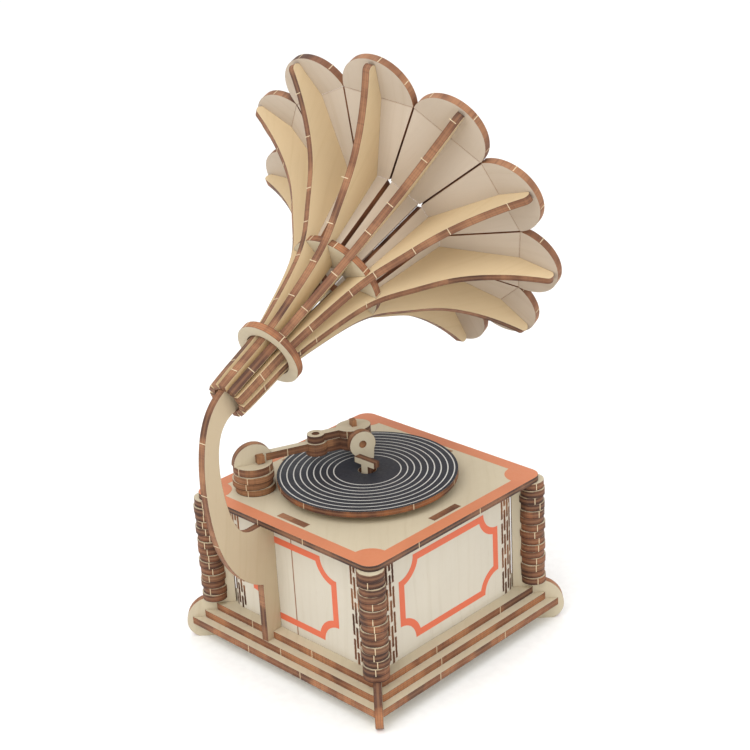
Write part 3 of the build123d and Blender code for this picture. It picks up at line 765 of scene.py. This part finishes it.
def base_nibs(shape):
    plate_nibs(shape, "base_bottom_plate", 2, 12 * MM)
    plate_nibs(shape, "base_middle_plate", 1, 14 * MM)
    plate_nibs(shape, "base_top_plate", 2, 14 * MM)
    plate_nibs(shape, "lid", 2, 14 * MM)
    pillar_nibs(shape)
    round_nibs(shape, "tonearm_base_discs", ARM_CENTRE, 2, ARM_BASE_DISCS, 20 * MM, 2.2)
    horn_nibs(shape)
    neck_nibs(shape)


def record_nibs(shape):
    round_nibs(shape, "record", RECORD_CENTRE, 7)
    round_nibs(shape, "turntable_spacer", RECORD_CENTRE, 3)


def arm_nibs(shape):
    round_nibs(shape, "tonearm_top_disc", ARM_CENTRE, 3, reach=20 * MM, first=1.4)
    for node in ("head_lower_plate", "head_middle_plate", "head_upper_plate"):
        round_nibs(shape, node, centre_of(node), 2, reach=30 * MM, first=luck.uniform(0, 1))
    round_nibs(shape, "tonearm_bar", centre_of("tonearm_bar"), 2, reach=30 * MM, first=2.4)


new_piece("cut_nibs_base", "base", nib_wood, base_nibs)
new_piece("cut_nibs_record", "record_table", nib_wood, record_nibs)
new_piece("cut_nibs_tonearm", "tonearm", nib_wood, arm_nibs)


# ---------------------------------------------------------------- floor, light and camera
FLOOR_HALF = 12.0  # half the side of the square floor


def floor():
    mesh = bpy.data.meshes.new("floor")
    corners = [(sx * FLOOR_HALF, sy * FLOOR_HALF, 0) for sx, sy in ((-1, -1), (1, -1), (1, 1), (-1, 1))]
    mesh.from_pydata(corners, [], [(0, 1, 2, 3)])
    obj = bpy.data.objects.new("floor", mesh)
    bpy.context.scene.collection.objects.link(obj)
    shade = Shader("floor_paper")
    fibres = shade.noise(shade.place.outputs["Object"], 300.0, 2.0)
    colour = shade.mix(shade.step(fibres, 0.3, 0.7), rgb(250, 250, 249), rgb(246, 246, 245))
    mesh.materials.append(shade.finish(colour, 0.9))


def area_light(name, azimuth, elevation, distance, size, power):
    """A square lamp that looks at the middle of the model. Angles are in degrees."""
    light = bpy.data.lights.new(name, "AREA")
    light.energy = power
    light.size = size
    obj = bpy.data.objects.new(name, light)
    bpy.context.scene.collection.objects.link(obj)
    a, e = math.radians(azimuth), math.radians(elevation)
    way = Vector((math.sin(a) * math.cos(e), -math.cos(a) * math.cos(e), math.sin(e)))
    obj.location = Vector((0, 0, 0.1)) + way * distance
    obj.rotation_mode = "QUATERNION"
    obj.rotation_quaternion = (-way).to_track_quat("-Z", "Y")


AZIMUTH = 225.29
ELEVATION = 22.65
ROLL = -3.165
DISTANCE = 0.638
PAN_RIGHT = -0.29 * MM
PAN_UP = 94.695 * MM
SENSOR = 36.0
LENS = 76.5


def camera():
    a, e, roll = math.radians(AZIMUTH), math.radians(ELEVATION), math.radians(ROLL)
    back = Vector((math.sin(a) * math.cos(e), -math.cos(a) * math.cos(e), math.sin(e)))
    level = Vector((math.cos(a), math.sin(a), 0))
    rise = back.cross(level)
    right = level * math.cos(roll) + rise * math.sin(roll)
    up = rise * math.cos(roll) - level * math.sin(roll)
    target = Vector((BOX_CENTRE.x, BOX_CENTRE.y, BOX_FLOOR))
    spot = target + back * DISTANCE + right * PAN_RIGHT + up * PAN_UP
    data = bpy.data.cameras.new("camera")
    data.sensor_width = SENSOR
    data.lens = LENS
    data.clip_start = 0.01
    obj = bpy.data.objects.new("camera", data)
    bpy.context.scene.collection.objects.link(obj)
    turn = Matrix((right, up, back)).transposed().to_4x4()
    obj.matrix_world = Matrix.Translation(spot) @ turn
    bpy.context.scene.camera = obj


SKY_STRENGTH = 0.84


def sky():
    world = bpy.data.worlds.new("studio")
    bpy.context.scene.world = world
    world.use_nodes = True
    background = world.node_tree.nodes["Background"]
    background.inputs[0].default_value = (1.0, 1.0, 1.0, 1.0)
    background.inputs[1].default_value = SKY_STRENGTH
    bpy.context.scene.view_settings.view_transform = "Standard"


floor()
sky()
area_light("key", 190, 50, 1.2, 0.9, 8.0)
area_light("fill", 270, 35, 1.4, 1.2, 4.4)
area_light("rim", 40, 55, 2.4, 1.8, 13)
camera()
